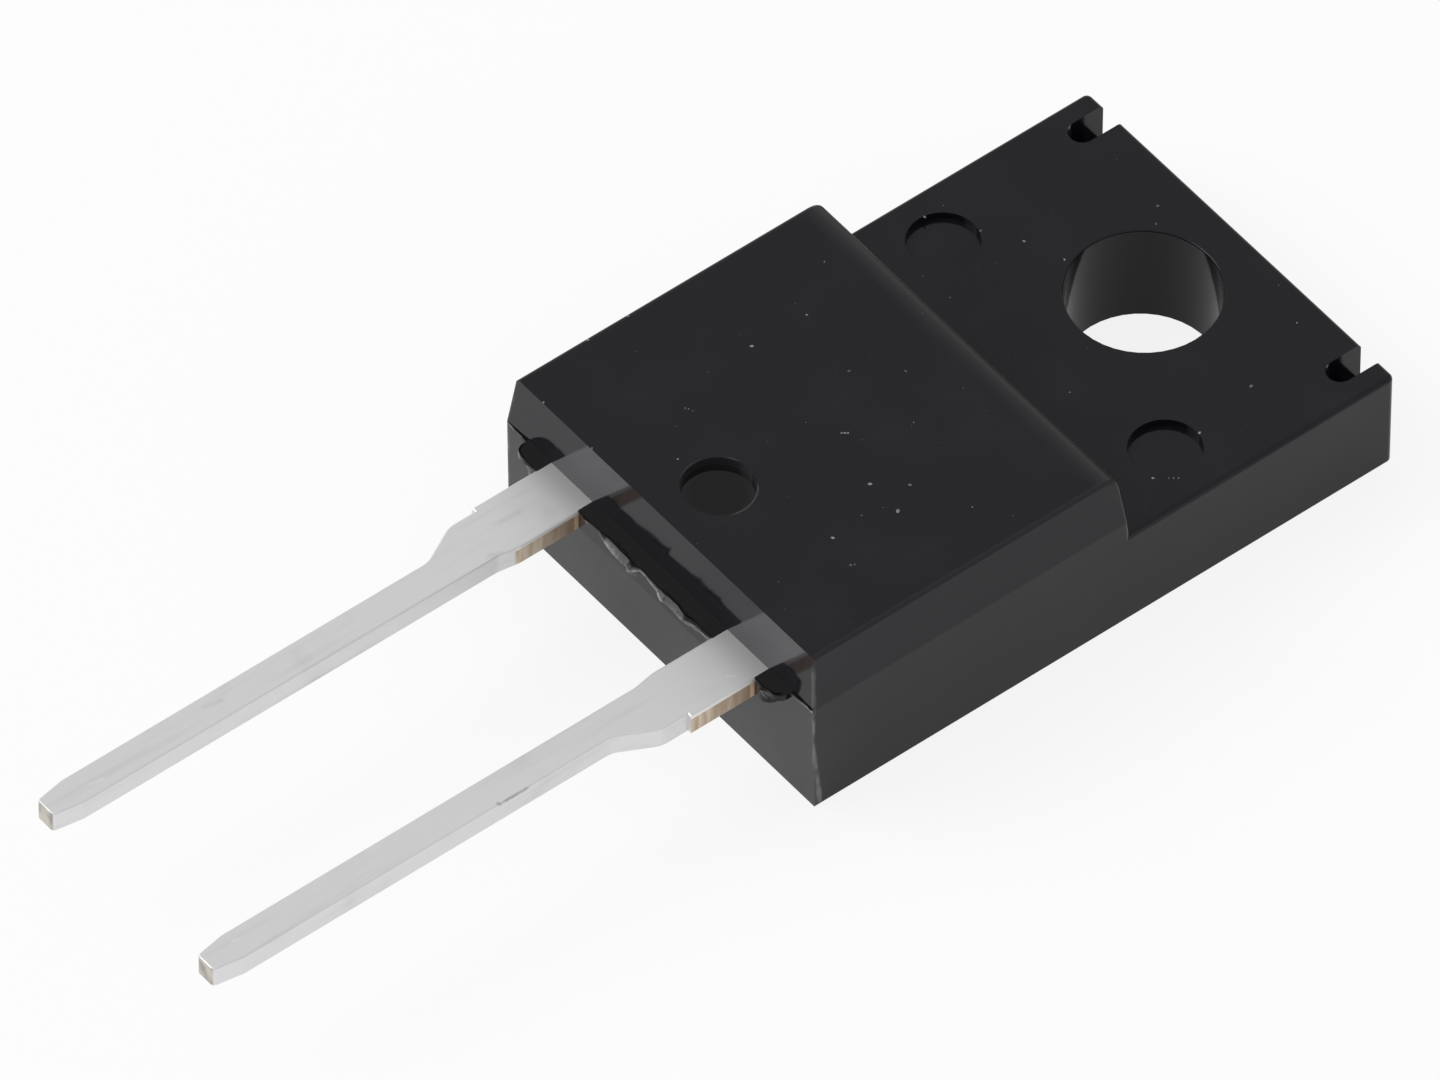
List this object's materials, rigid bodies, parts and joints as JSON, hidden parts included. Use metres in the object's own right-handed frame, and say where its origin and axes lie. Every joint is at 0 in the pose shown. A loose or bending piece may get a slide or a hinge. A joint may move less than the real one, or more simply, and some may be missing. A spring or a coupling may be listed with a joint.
{
  "type": "power rectifier diode",
  "caption": "Power diode in a fully insulated moulded package, with a stepped body, a screw-mount tab and flat leads.",
  "frame": {"origin": "on the axis of the mounting hole, at the flat back that seats on a heatsink", "axes": "+Z out of the marked face, away from the heatsink; +Y from the leads to the end of the tab; +X across, from the cathode lead to the anode lead"},
  "size_m": [0.0098, 0.0288, 0.0044],
  "materials": {
    "black_epoxy": "black moulded epoxy, fine satin grain, with pale flash at the front wall",
    "tinned_copper": "satin tin plating over stamped copper, bare copper where the tie bars were cut",
    "solder": "dull solder, hidden",
    "silicon": "polished silicon with a metallised top, hidden",
    "aluminium_wire": "bright drawn aluminium, hidden"
  },
  "bodies": {
    "root": {"moulded_body": "black_epoxy", "cathode_frame": "tinned_copper", "anode_lead": "tinned_copper", "die_solder": "solder", "silicon_die": "silicon", "bond_wire_left": "aluminium_wire", "bond_wire_right": "aluminium_wire"}
  },
  "joints": []
}
